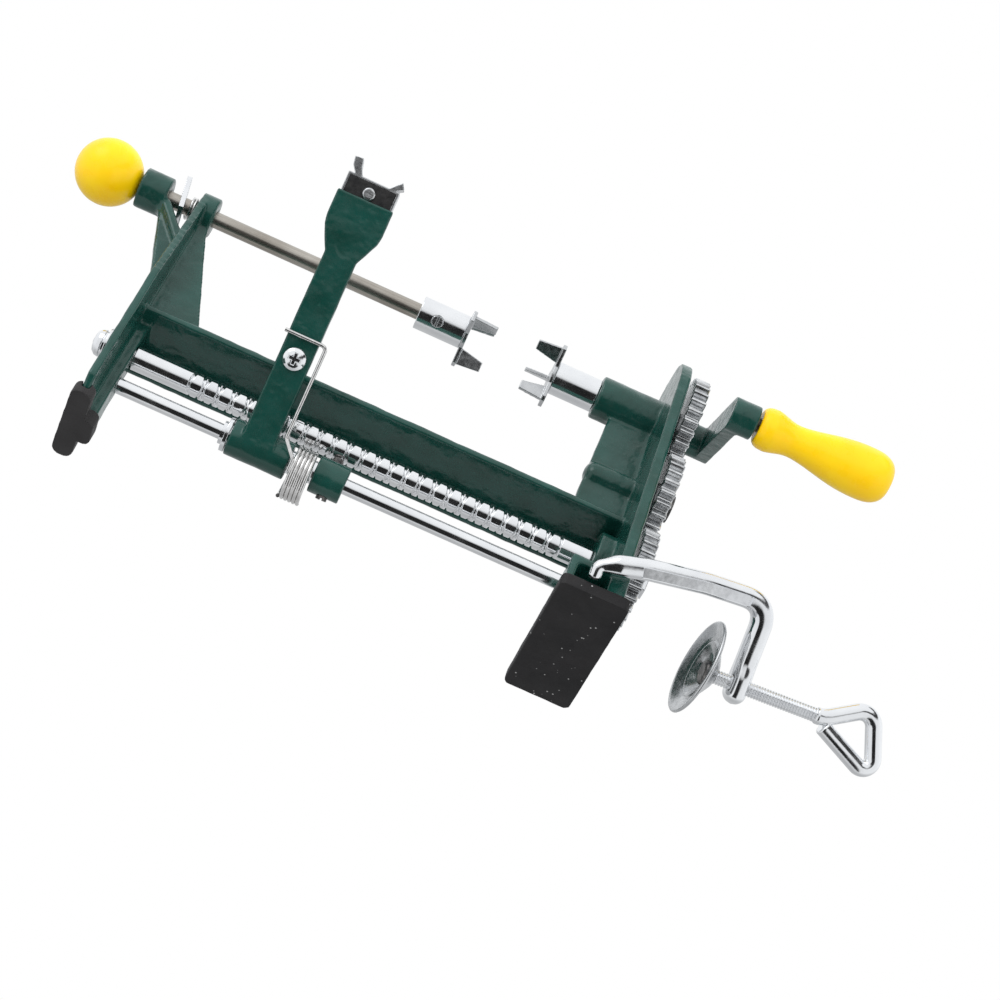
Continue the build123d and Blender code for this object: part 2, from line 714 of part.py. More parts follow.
def peeling_arm():
    """Cast arm: tube on the sleeve, flat bar and flared head."""
    solid = rod_x(arm_tube_start, arm_tube_end, arm_tube_radius, 0, 0)
    half = arm_width / 2
    wide = head_width / 2
    side = [(half, 0), (half, head_start), (half + 2.6, head_start + 5.5), (wide - 0.7, head_full - 4),
            (wide, head_full), (wide, arm_length)]
    outline = [(arm_centre - x, z) for x, z in reversed(side)] + [(arm_centre + x, z) for x, z in side]
    bar_face = polygon(outline)
    bar = plate_xz(bar_face, -arm_face, -arm_face + head_wall)
    lower = polygon([(arm_centre - half, 0), (arm_centre + half, 0),
                     (arm_centre + half, head_start + 3), (arm_centre - half, head_start + 3)])
    bar += plate_xz(lower, -arm_face, -arm_face + arm_thickness)
    solid += bar
    solid -= rod_x(arm_tube_start - 1, arm_tube_end + 1, sleeve_radius + running_clearance, 0, 0)
    screw = rod_y_axis(-arm_face - 1, -arm_face + arm_thickness + 1, 2.5, arm_centre, arm_screw_height)
    return solid - screw


def arm_screw():
    """Cross-head screw through the arm."""
    head = pan_screw(0, 2.9, 5.3, 0, 0)
    head = cross_cut(head, 2.9, -1.6, 5.3, 0, 0)
    head += rod_x(-arm_thickness - 1.2, 0.2, 2.5, 0, 0)
    return Pos(arm_centre, -arm_face, arm_screw_height) * Rot(0, 0, -90) * head


holder_front = -arm_face + head_wall
holder_top = arm_length + holder_reach
rivet_height = arm_length + 1.4


def blade_holder():
    """Dark block behind the head that carries the blade."""
    half = holder_width / 2
    solid = block(arm_centre - half, arm_centre + half, holder_front, holder_front + holder_depth,
                  holder_top - holder_length, holder_top)
    hole = rod_y_axis(holder_front - 1, holder_front + holder_depth + 1, 1.6, arm_centre, rivet_height + 1.6)
    return solid - hole


def blade_bracket():
    """Strap round the holder, with a tall wing and a short wing bent outwards."""
    half = holder_width / 2
    sheet = bracket_thickness
    low = holder_top - holder_length + 4
    front, back = holder_front + 0.4, holder_front + holder_depth + 1.0
    top = holder_top + sheet
    solid = block(arm_centre - half - sheet, arm_centre - half, front, back, low, top)
    solid += block(arm_centre + half, arm_centre + half + sheet, front, back, low, top)
    solid += block(arm_centre - half - sheet, arm_centre + half + sheet, front, back, holder_top, top)
    tall = polygon([(-9.0, 0), (-5.6, 0), (-7.2, 3.4), (-8.2, 7.4), (-12.0, 7.0), (-11.4, 3.4)])
    short = polygon([(6.6, 0), (9.4, 0), (13.0, 2.2), (11.4, 4.8)])
    for wing in (tall, short):
        solid += plate_xz(Pos(arm_centre, top - 0.2) * wing, front, back)
    return solid


def blade():
    """Bowed peeling blade behind the holder, on the fruit's side."""
    back = holder_front + holder_depth + 1.0
    face = Rectangle(18.0, 9.0) - Pos(0, -1.0) * Rectangle(15.8, 9.0)
    plane = Plane(origin=(arm_centre, back + 4.5, holder_top - 14), x_dir=(1, 0, 0), z_dir=(0, 0, 1))
    return extrude(plane * face, amount=11.0)


def blade_rivet():
    """Round-head rivet that pins the holder."""
    y0 = holder_front
    solid = rod_y_axis(y0, y0 + holder_depth, 1.6, 0, 0)
    head = Pos(0, y0, 0) * Rot(90, 0, 0) * Cylinder(2.9, 1.4, align=ON_BASE)
    head = fillet(head.edges().sort_by(Axis.Y)[:1], 0.9)
    return Pos(arm_centre, 0, rivet_height + 1.6) * (solid + head)


parts["peeling_arm"] = arm_pose * peeling_arm()
parts["arm_screw"] = arm_pose * arm_screw()
parts["blade_holder"] = arm_pose * blade_holder()
parts["blade_bracket"] = arm_pose * blade_bracket()
parts["blade"] = arm_pose * blade()
parts["blade_rivet"] = arm_pose * blade_rivet()


def torsion_spring():
    """Coil round the sleeve; one leg runs up beside the arm and hooks across its front."""
    x0 = arm_tube_end + part_gap + 0.2
    x1 = collar_start - part_gap - 0.2
    coil = coil_x(x0, x1, torsion_mean_radius, torsion_wire, torsion_turns, 0, -torsion_drop, 0)
    leg_x = arm_centre + arm_width / 2 + 3.2
    front = -arm_face - torsion_wire / 2 - 0.2
    hook_x = arm_centre - arm_width / 2 - 1.4
    corner = 2.2
    leg = FilletPolyline((x0 + torsion_wire / 2, -torsion_mean_radius, -torsion_drop),
                         (x0 + torsion_wire / 2, -torsion_mean_radius, 2.0),
                         (leg_x, front, 9.0), (leg_x, front, torsion_hook_height),
                         (hook_x, front, torsion_hook_height),
                         radius=corner)
    section = Plane(origin=leg @ 0, z_dir=leg % 0) * Circle(torsion_wire / 2)
    return coil, sweep(section, path=leg)


coil_solid, leg_solid = torsion_spring()
parts["torsion_spring"] = arm_pose * (coil_solid + leg_solid)


# ---- clamp: drawn in use, hanging from the hook, then turned to its parked direction ----

bar_dir = Vector(*park_bar).normalized()
arm_dir = (Vector(*park_arm) - bar_dir * Vector(*park_arm).dot(bar_dir)).normalized()
clamp_pose = Plane(origin=hook_centre, x_dir=bar_dir.cross(arm_dir), z_dir=-bar_dir).location


def clamp_bar():
    """Hooked bar: tongue, bowed run, corner and short arm with the screw's eye."""
    plane = Plane(origin=(-bar_width / 2, 0, 0), x_dir=(0, 1, 0), z_dir=(1, 0, 0))
    run = FilletPolyline((-5.4, -6.6), (-9.5, -20.0), (-13.0, -46.0), (-bar_offset, -clamp_arm_distance),
                         (clamp_screw_offset, -clamp_arm_distance), radius=(20, 40, 9.0))
    bar = extrude(plane * trace(run, bar_thickness), amount=bar_width)
    bar += Pos(0, clamp_screw_offset, -clamp_arm_distance) * Cylinder(clamp_eye_radius, bar_thickness)
    hook_plane = Plane(origin=(-tongue_width / 2, 0, 0), x_dir=(0, 1, 0), z_dir=(1, 0, 0))
    hook = FilletPolyline((tongue_length - tongue_thickness / 2, 0), (-3.4, 0), (-6.6, -8.0), radius=3.4)
    bar += extrude(hook_plane * trace(hook, tongue_thickness), amount=tongue_width)
    hole = Cylinder(clamp_screw_radius + running_clearance, 60)
    return bar - Pos(0, clamp_screw_offset, -clamp_arm_distance) * hole


def clamp_screw():
    """Threaded rod from the disc to the handle."""
    length = clamp_thread_end - clamp_disc_distance - clamp_cup_depth + clamp_button_seat
    return Pos(0, clamp_screw_offset, -clamp_thread_end) * Cylinder(clamp_screw_radius, length, align=ON_BASE)


def clamp_handle():
    """The screw's own rod, bent into a triangle."""
    corners = [(0, 0), (2.2, 0), (5.4, 1.2), (23.0, 11.3), (34.4, -18.7), (4.7, -3.6)]
    path = FilletPolyline(*[(clamp_screw_offset - up, -clamp_thread_end - along) for along, up in corners],
                          radius=(6.0, 7.0, 6.5, 4.2))
    wire = Plane(origin=(0, 0, 0), x_dir=(0, 1, 0), z_dir=(1, 0, 0)) * path
    section = Plane(origin=wire @ 0, z_dir=wire % 0) * Circle(clamp_screw_radius)
    return sweep(section, path=wire)


def clamp_disc():
    """Pressed cup that swivels on the screw's end and bears on the table's underside."""
    rim = clamp_disc_radius
    sheet = clamp_sheet
    depth = clamp_cup_depth
    inner = clamp_screw_radius + clamp_swivel_play
    profile = [(inner, 0), (6.0, 0.6), (12.0, 4.2), (13.5, 5.2), (rim - 1.5, depth), (rim, depth),
               (rim, depth + sheet), (rim - 2.0, depth + sheet), (13.0, 5.3 + sheet), (11.4, 4.3 + sheet),
               (5.6, 0.6 + sheet), (inner, sheet)]
    cup = revolve(Plane(origin=(0, 0, 0), x_dir=(1, 0, 0), z_dir=(0, -1, 0)) * polygon(profile), axis=Axis.Z)
    return Pos(0, clamp_screw_offset, -clamp_disc_distance - depth) * Rot(clamp_swivel, 0, 0) * cup


def clamp_button():
    """Upset end of the screw that holds the disc on."""
    button = Cylinder(5.6, 2.4, align=ON_BASE)
    button = fillet(button.edges().sort_by(Axis.Z)[-1:], 1.6)
    return Pos(0, clamp_screw_offset, clamp_button_seat - clamp_disc_distance - clamp_cup_depth) * button


parts["clamp_bar"] = clamp_pose * clamp_bar()
parts["clamp_screw"] = clamp_pose * clamp_screw()
parts["clamp_handle"] = clamp_pose * clamp_handle()
parts["clamp_disc"] = clamp_pose * clamp_disc()
parts["clamp_button"] = clamp_pose * clamp_button()

os.makedirs("parts", exist_ok=True)
for name, solid in parts.items():
    solid.label = name
    export_step(solid, f"parts/{name}.step")
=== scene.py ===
import json
import math

import bmesh
import bpy
import numpy as np
from mathutils import Matrix, Vector, noise


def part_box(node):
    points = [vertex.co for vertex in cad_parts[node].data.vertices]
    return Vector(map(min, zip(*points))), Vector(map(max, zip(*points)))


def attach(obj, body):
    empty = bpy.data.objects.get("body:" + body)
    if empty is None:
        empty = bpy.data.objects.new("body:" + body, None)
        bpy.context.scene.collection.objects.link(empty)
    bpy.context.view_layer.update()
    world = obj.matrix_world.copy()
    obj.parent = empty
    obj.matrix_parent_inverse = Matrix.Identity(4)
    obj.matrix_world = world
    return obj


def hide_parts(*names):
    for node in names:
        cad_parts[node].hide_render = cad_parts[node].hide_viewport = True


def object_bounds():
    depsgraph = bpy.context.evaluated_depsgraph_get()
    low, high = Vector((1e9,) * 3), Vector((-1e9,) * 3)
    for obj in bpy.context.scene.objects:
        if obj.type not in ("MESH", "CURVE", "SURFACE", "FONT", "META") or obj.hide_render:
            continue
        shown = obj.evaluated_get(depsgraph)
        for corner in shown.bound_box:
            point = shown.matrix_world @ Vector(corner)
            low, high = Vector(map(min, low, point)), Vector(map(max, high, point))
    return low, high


# Looks for the clamp-on fruit peeler. Lengths are in metres, in the CAD frame:
# X from the ball knob to the crank, Y away from the user, Z up, feet on Z = 0.

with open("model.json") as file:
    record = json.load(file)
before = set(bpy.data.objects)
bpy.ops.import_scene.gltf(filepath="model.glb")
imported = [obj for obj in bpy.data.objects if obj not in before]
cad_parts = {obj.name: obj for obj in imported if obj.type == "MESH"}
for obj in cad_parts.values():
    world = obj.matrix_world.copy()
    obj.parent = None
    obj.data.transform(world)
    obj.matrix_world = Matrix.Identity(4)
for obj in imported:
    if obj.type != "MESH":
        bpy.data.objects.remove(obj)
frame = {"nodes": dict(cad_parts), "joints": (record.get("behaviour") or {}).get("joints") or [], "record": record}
cad_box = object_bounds()
NODES = frame["nodes"]
SLOT_OF = {s["node"]: s["material_slot"] for s in frame["record"]["subparts"]}
BODY_OF = {n: b for b, ns in frame["record"]["behaviour"]["bodies"].items() for n in ns}
JOINTS = {j["name"]: j for j in frame["joints"]}
MM = 0.001


# ---- camera and stage ----

CAMERA_PLACE = (0.01145, -0.6938, -0.5809)
CAMERA_DEPTH = 0.736  # share of the forward direction along Y
CAMERA_RISE = 0.677  # share of the forward direction along Z
CAMERA_YAW = 2.99  # degrees to the right
CAMERA_ROLL = 24.1  # degrees, the machine's right end goes down
CAMERA_LENS = 77.4  # mm
CAMERA_SENSOR = 36  # mm
CAMERA_NEAR = 0.01

FLOOR_COLOUR = (0.82, 0.82, 0.81, 1)
FLOOR_ROUGHNESS = 0.7
FLOOR_GAP = 1.5 * MM  # past the right pad, and under the lowest point
TABLE_REACH = 1.2
LOWER_REACH = 3

LIGHT_AIM = (0.02, 0, 0.08)


def make_camera():
    """Camera in front of and below the machine, rolled so that the machine slopes down to the right."""
    forward = Vector((0, CAMERA_DEPTH, CAMERA_RISE)).normalized()
    up = Vector((0, -CAMERA_RISE, CAMERA_DEPTH)).normalized()
    right = Vector((1, 0, 0))
    yaw = math.radians(CAMERA_YAW)
    roll = math.radians(CAMERA_ROLL)
    look = forward * math.cos(yaw) + right * math.sin(yaw)
    side = right * math.cos(yaw) - forward * math.sin(yaw)
    image_right = side * math.cos(roll) + up * math.sin(roll)
    image_up = up * math.cos(roll) - side * math.sin(roll)
    data = bpy.data.cameras.new("camera")
    data.sensor_width = CAMERA_SENSOR
    data.lens = CAMERA_LENS
    data.clip_start = CAMERA_NEAR
    camera = bpy.data.objects.new("camera", data)
    bpy.context.scene.collection.objects.link(camera)
    rotation = Matrix((image_right, image_up, -look)).transposed()
    camera.matrix_world = Matrix.Translation(CAMERA_PLACE) @ rotation.to_4x4()
    bpy.context.scene.camera = camera


def one_sided_floor(name, x_range, y_range, z, material):
    """Pale plane seen from above only, which casts nothing on the machine."""
    (x0, x1), (y0, y1) = x_range, y_range
    mesh = bpy.data.meshes.new(name)
    mesh.from_pydata([(x0, y0, z), (x1, y0, z), (x1, y1, z), (x0, y1, z)], [], [(0, 1, 2, 3)])
    floor = bpy.data.objects.new(name, mesh)
    bpy.context.scene.collection.objects.link(floor)
    mesh.materials.append(material)
    floor.visible_diffuse = False
    floor.visible_glossy = False
    floor.visible_transmission = False
    floor.visible_shadow = False


def floor_material():
    """Pale matt surface whose underside is clear."""
    material = bpy.data.materials.new("stage_pale")
    material.use_nodes = True
    tree = material.node_tree
    shader = tree.nodes["Principled BSDF"]
    shader.inputs["Base Color"].default_value = FLOOR_COLOUR
    shader.inputs["Roughness"].default_value = FLOOR_ROUGHNESS
    clear = tree.nodes.new("ShaderNodeBsdfTransparent")
    mix = tree.nodes.new("ShaderNodeMixShader")
    side = tree.nodes.new("ShaderNodeNewGeometry")
    tree.links.new(side.outputs["Backfacing"], mix.inputs[0])
    tree.links.new(shader.outputs[0], mix.inputs[1])
    tree.links.new(clear.outputs[0], mix.inputs[2])
    tree.links.new(mix.outputs[0], tree.nodes["Material Output"].inputs["Surface"])
    return material


def set_map_range(node, low, high, out_low, out_high):
    """Map Range node that takes low to out_low and high to out_high."""
    node.inputs["From Min"].default_value = low
    node.inputs["From Max"].default_value = high
    node.inputs["To Min"].default_value = out_low
    node.inputs["To Max"].default_value = out_high


# Studio directions, as a ray leaves the machine.
TO_RIGHT = (1, 0, 0)
TO_BACK_LOW = (0, 0.914, -0.407)
TO_FRONT_LOW = (0, -0.407, -0.914)
TO_CAMERA = (0, -0.736, -0.677)
TO_TOP = (0, 0.1, 1)
TO_BACK = (0, 0.9, -0.2)
TO_SOFT_BOX = (-0.62, -0.72, 0.3)
TO_UPPER_FRONT = (0, -0.5, 0.87)
COOL_WHITE = (0.97, 0.985, 1.0, 1)
RAISED_STRIP_AT = 0.68  # the right end's dark strip is where TO_BACK_LOW's share is minus this


def make_world():
    """Studio: plain white behind the machine, even light on paint, and a shaped one in the bright metal."""
    world = bpy.data.worlds.new("studio")
    bpy.context.scene.world = world
    world.use_nodes = True
    tree = world.node_tree
    tree.nodes.clear()
    link = tree.links.new
    coords = tree.nodes.new("ShaderNodeTexCoord")

    def along(direction):
        """Share of the ray's direction that lies along this one."""
        dot = tree.nodes.new("ShaderNodeVectorMath")
        dot.operation = "DOT_PRODUCT"
        link(coords.outputs["Generated"], dot.inputs[0])
        dot.inputs[1].default_value = Vector(direction).normalized()
        return dot.outputs["Value"]

    def combine(kind, first, second):
        node = tree.nodes.new("ShaderNodeMath")
        node.operation = kind
        for socket, value in zip(node.inputs, (first, second)):
            if isinstance(value, (int, float)):
                socket.default_value = value
            else:
                link(value, socket)
        return node.outputs[0]

    def absolute(value):
        return combine("ABSOLUTE", value, 0)

    def remap(value, low, high, out_low, out_high):
        """Soft step from out_low at low to out_high at high."""
        node = tree.nodes.new("ShaderNodeMapRange")
        node.interpolation_type = "SMOOTHSTEP"
        link(value, node.inputs["Value"])
        set_map_range(node, low, high, out_low, out_high)
        return node.outputs["Result"]

    def background(strength, colour=(1, 1, 1, 1)):
        node = tree.nodes.new("ShaderNodeBackground")
        node.inputs["Color"].default_value = colour
        if isinstance(strength, (int, float)):
            node.inputs["Strength"].default_value = strength
        else:
            link(strength, node.inputs["Strength"])
        return node.outputs[0]

    def choose(ray_kind, otherwise, picked):
        mix = tree.nodes.new("ShaderNodeMixShader")
        link(rays.outputs[ray_kind], mix.inputs[0])
        link(otherwise, mix.inputs[1])
        link(picked, mix.inputs[2])
        return mix.outputs[0]

    strip = remap(absolute(along(TO_BACK_LOW)), 0.46, 0.64, 0.02, 1.0)
    above = remap(along(TO_FRONT_LOW), -0.1, 0.35, 1.0, 0.0)
    ends = remap(absolute(along(TO_RIGHT)), 0.3, 0.42, 0.0, 1.0)
    left_strip = combine("MAXIMUM", combine("MAXIMUM", strip, above), ends)
    off_raised = absolute(combine("ADD", along(TO_BACK_LOW), RAISED_STRIP_AT))
    not_right = remap(along(TO_RIGHT), 0.25, 0.36, 1.0, 0.0)
    right_strip = combine("MAXIMUM", remap(off_raised, 0.06, 0.15, 0.04, 1.0), not_right)
    dark_strip = combine("MINIMUM", left_strip, right_strip)
    dim_front = remap(along(TO_CAMERA), 0.88, 0.975, 1.0, 0.8)
    height = remap(along(TO_TOP), -1.0, 0.5, 0.86, 1.0)
    grey_back = remap(along(TO_BACK), 0.2, 0.9, 1.0, 0.55)
    near_level = combine("MULTIPLY", dark_strip, dim_front)
    far_level = combine("MULTIPLY", height, grey_back)
    level = combine("MULTIPLY", near_level, far_level)
    soft_box = remap(along(TO_SOFT_BOX), 0.93, 0.965, 0.0, 1.7)
    shaped = background(combine("ADD", level, soft_box), COOL_WHITE)
    rays = tree.nodes.new("ShaderNodeLightPath")
    out = tree.nodes.new("ShaderNodeOutputWorld")
    from_above = remap(along(TO_UPPER_FRONT), -0.75, 0.45, 0.62, 1.22)
    lit = choose("Is Glossy Ray", background(from_above), shaped)
    link(choose("Is Camera Ray", lit, background(1.0)), out.inputs["Surface"])


def add_light(name, place, size, power):
    """Soft square light aimed at the machine's middle."""
    data = bpy.data.lights.new(name, "AREA")
    data.shape = "SQUARE"
    data.size = size
    data.energy = power
    light = bpy.data.objects.new(name, data)
    light.visible_glossy = False
    bpy.context.scene.collection.objects.link(light)
    aim = Vector(LIGHT_AIM) - Vector(place)
    turn = aim.to_track_quat("-Z", "Y").to_matrix().to_4x4()
    light.matrix_world = Matrix.Translation(place) @ turn


def make_stage():
    """Camera, table top with an edge for the clamp, lower floor, studio and lights."""
    make_camera()
    pale = floor_material()
    table_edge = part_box("right_pad")[1].x + FLOOR_GAP
    one_sided_floor("table_top", (-TABLE_REACH, table_edge), (-TABLE_REACH, TABLE_REACH), 0.0, pale)
    lower = (-LOWER_REACH, LOWER_REACH)
    one_sided_floor("lower_floor", lower, lower, cad_box[0][2] - FLOOR_GAP, pale)
    make_world()
    add_light("key", place=(-0.75, -1.0, 0.25), size=0.55, power=4.5)
    add_light("top", place=(0.25, -0.25, 1.2), size=0.7, power=5.0)
    add_light("low", place=(0.5, -0.8, -0.75), size=0.5, power=2.0)
    bpy.context.scene.view_settings.view_transform = "Standard"


# ---- materials ----

NOISE_LOW = 0.3  # nearly all of a noise lies between these two
NOISE_HIGH = 0.7


class Shader:
    """Short names for building one procedural material in object space."""

    def __init__(self, name):
        self.material = bpy.data.materials.new(name)
        self.material.use_nodes = True
        self.tree = self.material.node_tree
        self.bsdf = self.tree.nodes["Principled BSDF"]
        self.coords = self.tree.nodes.new("ShaderNodeTexCoord").outputs["Object"]
        self.height = None

    def link(self, source, target):
        self.tree.links.new(source, target)

    def set(self, **values):
        """Plain values straight on the shader's own sockets."""
        for name, value in values.items():
            socket = name.replace("_", " ").title().replace("Ior", "IOR")
            self.bsdf.inputs[socket].default_value = value

    def stretched(self, scale):
        """Object coordinates scaled unevenly, for grain that runs one way."""
        node = self.tree.nodes.new("ShaderNodeMapping")
        self.link(self.coords, node.inputs["Vector"])
        node.inputs["Scale"].default_value = scale
        return node.outputs["Vector"]

    def noise(self, scale, detail=3.0, coords=None, distortion=0.0):
        """Cloudy noise from 0 to 1, with about scale clouds in a metre."""
        node = self.tree.nodes.new("ShaderNodeTexNoise")
        self.link(coords or self.coords, node.inputs["Vector"])
        node.inputs["Scale"].default_value = scale
        node.inputs["Detail"].default_value = detail
        node.inputs["Distortion"].default_value = distortion
        return node.outputs["Fac"]

    def cells(self, scale):
        """Distance to the nearest of scattered points, about scale of them in a metre."""
        node = self.tree.nodes.new("ShaderNodeTexVoronoi")
        self.link(self.coords, node.inputs["Vector"])
        node.inputs["Scale"].default_value = scale
        return node.outputs["Distance"]

    def remap(self, value, low, high, out_low, out_high):
        """Straight line from out_low at low to out_high at high, and level past both."""
        node = self.tree.nodes.new("ShaderNodeMapRange")
        self.link(value, node.inputs["Value"])
        set_map_range(node, low, high, out_low, out_high)
        return node.outputs["Result"]

    def spread(self, value, out_low=0, out_high=1):
        """Noise spread from out_low to out_high."""
        return self.remap(value, NOISE_LOW, NOISE_HIGH, out_low, out_high)

    def product(self, first, second):
        node = self.tree.nodes.new("ShaderNodeMath")
        node.operation = "MULTIPLY"
        self.link(first, node.inputs[0])
        self.link(second, node.inputs[1])
        return node.outputs[0]

    def mix(self, factor, first, second):
        """Colour between two, either of which is a socket or a plain colour."""
        node = self.tree.nodes.new("ShaderNodeMix")
        node.data_type = "RGBA"
        self.link(factor, node.inputs["Factor"])
        for socket, value in ((node.inputs[6], first), (node.inputs[7], second)):
            if isinstance(value, tuple):
                socket.default_value = (*value, 1)
            else:
                self.link(value, socket)
        return node.outputs[2]

    def colour(self, socket):
        self.link(socket, self.bsdf.inputs["Base Color"])

    def roughness(self, socket):
        self.link(socket, self.bsdf.inputs["Roughness"])

    def bump(self, value, distance, strength=1.0):
        """Adds one more layer of relief, distance metres high."""
        node = self.tree.nodes.new("ShaderNodeBump")
        node.inputs["Distance"].default_value = distance
        node.inputs["Strength"].default_value = strength
        self.link(value, node.inputs["Height"])
        if self.height is not None:
            self.link(self.height, node.inputs["Normal"])
        self.height = node.outputs["Normal"]
        self.link(self.height, self.bsdf.inputs["Normal"])


def green_paint():
    """Thick gloss enamel over a lumpy casting, with random lighter spots of painted sheen."""
    s = Shader("green_paint")
    s.set(coat_weight=0.25, coat_roughness=0.05, specular_ior_level=0.42)
    patches = s.spread(s.noise(70, 4))
    base = s.mix(patches, (0.0045, 0.042, 0.032), (0.008, 0.062, 0.050))
    # Painted sheen: random spots mixed toward the grey-green that the enamel's edges reflect.
    sheen_spots = s.remap(s.noise(420, 6), 0.68, 0.8, 0, 0.45)
    s.colour(s.mix(sheen_spots, base, (0.035, 0.12, 0.10)))
    s.roughness(s.spread(s.noise(260, 5), 0.14, 0.32))
    s.bump(s.noise(95, 2, distortion=0.4), 0.0013, 0.6)
    s.bump(s.noise(520, 3), 0.00016, 0.5)
    s.bump(s.remap(s.cells(240), 0.0, 0.35, 0, 1), 0.00022, 0.35)
    return s.material


def chrome():
    """Bright plating with faint polishing lines and handling marks."""
    s = Shader("chrome")
    s.set(metallic=1.0)
    s.colour(s.mix(s.spread(s.noise(60, 4)), (0.82, 0.83, 0.85), (0.93, 0.94, 0.95)))
    lines = s.noise(1.0, 6, s.stretched((120, 2600, 2600)))
    smudge = s.remap(s.noise(130, 5), 0.35, 0.75, 0.06, 0.2)
    s.roughness(s.product(smudge, s.spread(lines, 0.8, 1.3)))
    s.bump(s.noise(170, 2), 0.00012, 0.35)
    s.bump(lines, 0.00002, 0.4)
    return s.material


def rod_steel():
    """Drawn steel rod, a warmer grey with lines along it."""
    s = Shader("rod_steel")
    s.set(metallic=1.0)
    lines = s.noise(1.0, 6, s.stretched((40, 1500, 1500)))
    tone = s.mix(s.spread(s.noise(60, 4)), (0.40, 0.365, 0.32), (0.56, 0.53, 0.48))
    s.colour(s.mix(s.remap(lines, 0.35, 0.7, 0, 0.5), tone, (0.28, 0.25, 0.22)))
    s.roughness(s.spread(lines, 0.26, 0.38))
    s.bump(lines, 0.00004, 0.5)
    return s.material


def satin_plate():
    """Pressed and plated sheet, duller than the chrome."""
    s = Shader("satin_plate")
    s.set(metallic=1.0)
    s.colour(s.mix(s.spread(s.noise(160, 5)), (0.50, 0.51, 0.52), (0.66, 0.67, 0.68)))
    s.roughness(s.spread(s.noise(420, 5), 0.16, 0.32))
    s.bump(s.noise(300, 3), 0.00012, 0.5)
    return s.material


def zinc():
    """Plated gear steel with cutting lines."""
    s = Shader("zinc")
    s.set(metallic=1.0)
    s.colour(s.mix(s.spread(s.noise(240, 5)), (0.52, 0.53, 0.54), (0.84, 0.85, 0.86)))
    cut = s.noise(1.0, 4, s.stretched((300, 1900, 1900)))
    s.roughness(s.spread(cut, 0.16, 0.34))
    s.bump(cut, 0.00006, 0.5)
    return s.material


def spring_steel():
    """Drawn bright wire."""
    s = Shader("spring_steel")
    s.set(metallic=1.0)
    s.colour(s.mix(s.spread(s.noise(350, 4)), (0.66, 0.65, 0.64), (0.86, 0.85, 0.84)))
    s.roughness(s.spread(s.noise(900, 4), 0.14, 0.28))
    s.bump(s.noise(1800, 3), 0.00003, 0.5)
    return s.material


def dark_steel():
    """Oiled, blackened steel of the pins and set screws."""
    s = Shader("dark_steel")
    s.set(metallic=0.9)
    s.colour(s.mix(s.spread(s.noise(420, 5)), (0.05, 0.05, 0.055), (0.22, 0.21, 0.20)))
    s.roughness(s.spread(s.noise(700, 4), 0.25, 0.5))
    s.bump(s.noise(1500, 4), 0.00005, 0.6)
    return s.material


def black_paint():
    """Satin black inside the arm's head."""
    s = Shader("black_paint")
    s.colour(s.mix(s.spread(s.noise(300, 5)), (0.006, 0.006, 0.007), (0.022, 0.021, 0.021)))
    s.roughness(s.spread(s.noise(500, 4), 0.3, 0.55))
    s.bump(s.noise(700, 4), 0.00012, 0.6)
    return s.material


def blade_steel():
    """Stainless steel with grinding lines."""
    s = Shader("blade_steel")
    s.set(metallic=1.0)
    lines = s.noise(1.0, 6, s.stretched((60, 3000, 3000)))
    s.colour(s.mix(s.spread(lines), (0.55, 0.56, 0.57), (0.72, 0.73, 0.74)))
    s.roughness(s.spread(lines, 0.12, 0.3))
    s.bump(lines, 0.00003, 0.6)
    return s.material


def rubber(name, low, high, speck_share):
    """Moulded rubber with a fine skin, from colour low to colour high, and pale dust specks."""
    s = Shader(name)
    s.set(specular_ior_level=0.25)
    base = s.mix(s.spread(s.noise(60, 5)), low, high)
    near_point = s.remap(s.cells(330), 0.05, 0.16, 1, 0)
    some = s.remap(s.noise(75, 2), 1 - speck_share, 1.02 - speck_share, 0, 1)
    s.colour(s.mix(s.product(near_point, some), base, (0.45, 0.45, 0.45)))
    s.roughness(s.spread(s.noise(240, 4), 0.5, 0.72))
    s.bump(s.noise(1900, 3), 0.00005, 0.7)
    s.bump(s.noise(220, 3), 0.00018, 0.35)
    return s.material


def yellow_plastic():
    """Glossy moulded plastic with a soft inner glow and light scuffs."""
    s = Shader("yellow_plastic")
    s.set(coat_weight=0.15, coat_roughness=0.08, specular_ior_level=0.3)
    s.set(subsurface_weight=0.05, subsurface_scale=0.003)
    s.bsdf.inputs["Subsurface Radius"].default_value = (1.0, 0.55, 0.12)
    base = s.mix(s.spread(s.noise(45, 3)), (1.0, 0.58, 0.0), (1.0, 0.68, 0.0))
    scuff = s.remap(s.noise(300, 7, distortion=0.6), 0.7, 0.8, 0, 0.35)
    s.colour(s.mix(scuff, base, (0.88, 0.62, 0.12)))
    s.roughness(s.spread(s.noise(180, 5), 0.22, 0.38))
    s.bump(s.noise(40, 2), 0.0004, 0.25)
    s.bump(s.noise(1300, 3), 0.00002, 0.5)
    return s.material


MATERIALS = {
    "green_paint": green_paint(),
    "chrome": chrome(),
    "rod_steel": rod_steel(),
    "satin_plate": satin_plate(),
    "zinc": zinc(),
    "spring_steel": spring_steel(),
    "dark_steel": dark_steel(),
    "black_paint": black_paint(),
    "blade_steel": blade_steel(),
    "rubber": rubber("rubber", (0.011, 0.011, 0.012), (0.019, 0.018, 0.019), 0.5),
    "yellow_plastic": yellow_plastic(),
    "boot_rubber": rubber("boot_rubber", (0.022, 0.021, 0.022), (0.036, 0.035, 0.036), 0.3),
}

# Nodes that look different from the rest of their slot.
SPECIAL = {
    "slide_rod": "rod_steel",
    "left_boot": "boot_rubber",
    "idle_set_screw": "zinc",
    "blade_rivet": "zinc",
    "clamp_disc": "satin_plate",
    "blade_bracket": "satin_plate",
    "idle_fork": "satin_plate",
    "driven_fork": "satin_plate",
}


def material_of(node):
    """Procedural material of one CAD node."""
    return MATERIALS[SPECIAL.get(node, SLOT_OF[node])]


